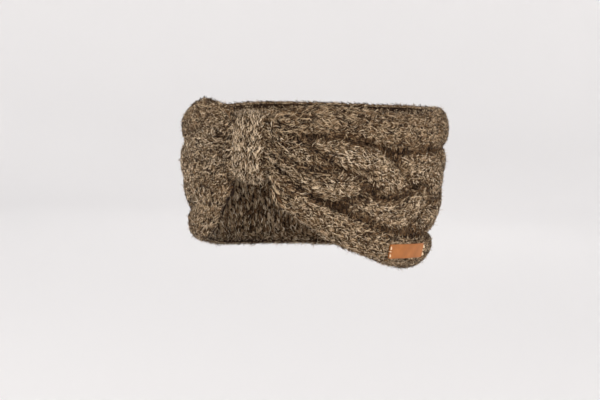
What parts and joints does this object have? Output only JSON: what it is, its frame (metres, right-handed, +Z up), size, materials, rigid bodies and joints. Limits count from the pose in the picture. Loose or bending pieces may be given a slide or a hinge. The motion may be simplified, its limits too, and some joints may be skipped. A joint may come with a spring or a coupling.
{
  "type": "ear warmer headband",
  "caption": "Chunky cable-knit wool ear warmer headband, cinched at the front by a short knit wrap, with a small bare leather tag on one side.",
  "frame": {"origin": "centre of the hollow that the head fills, half way up the band at its side", "axes": "+Z up through the crown of the head, -Y forwards through the knit wrap, +X to the wearer's left, the side with the leather tag"},
  "size_m": [0.1839, 0.2245, 0.1152],
  "materials": {
    "wool_knit": "heather grey-brown chunky wool, matt and fuzzy",
    "wrap_knit": "the same heather wool in plain stocking stitch, matt and fuzzy",
    "tan_leather": "smooth orange-tan leather, satin, with cut edges"
  },
  "bodies": {
    "root": {"band": "wool_knit", "front_wrap": "wrap_knit", "leather_tag": "tan_leather"}
  },
  "joints": []
}
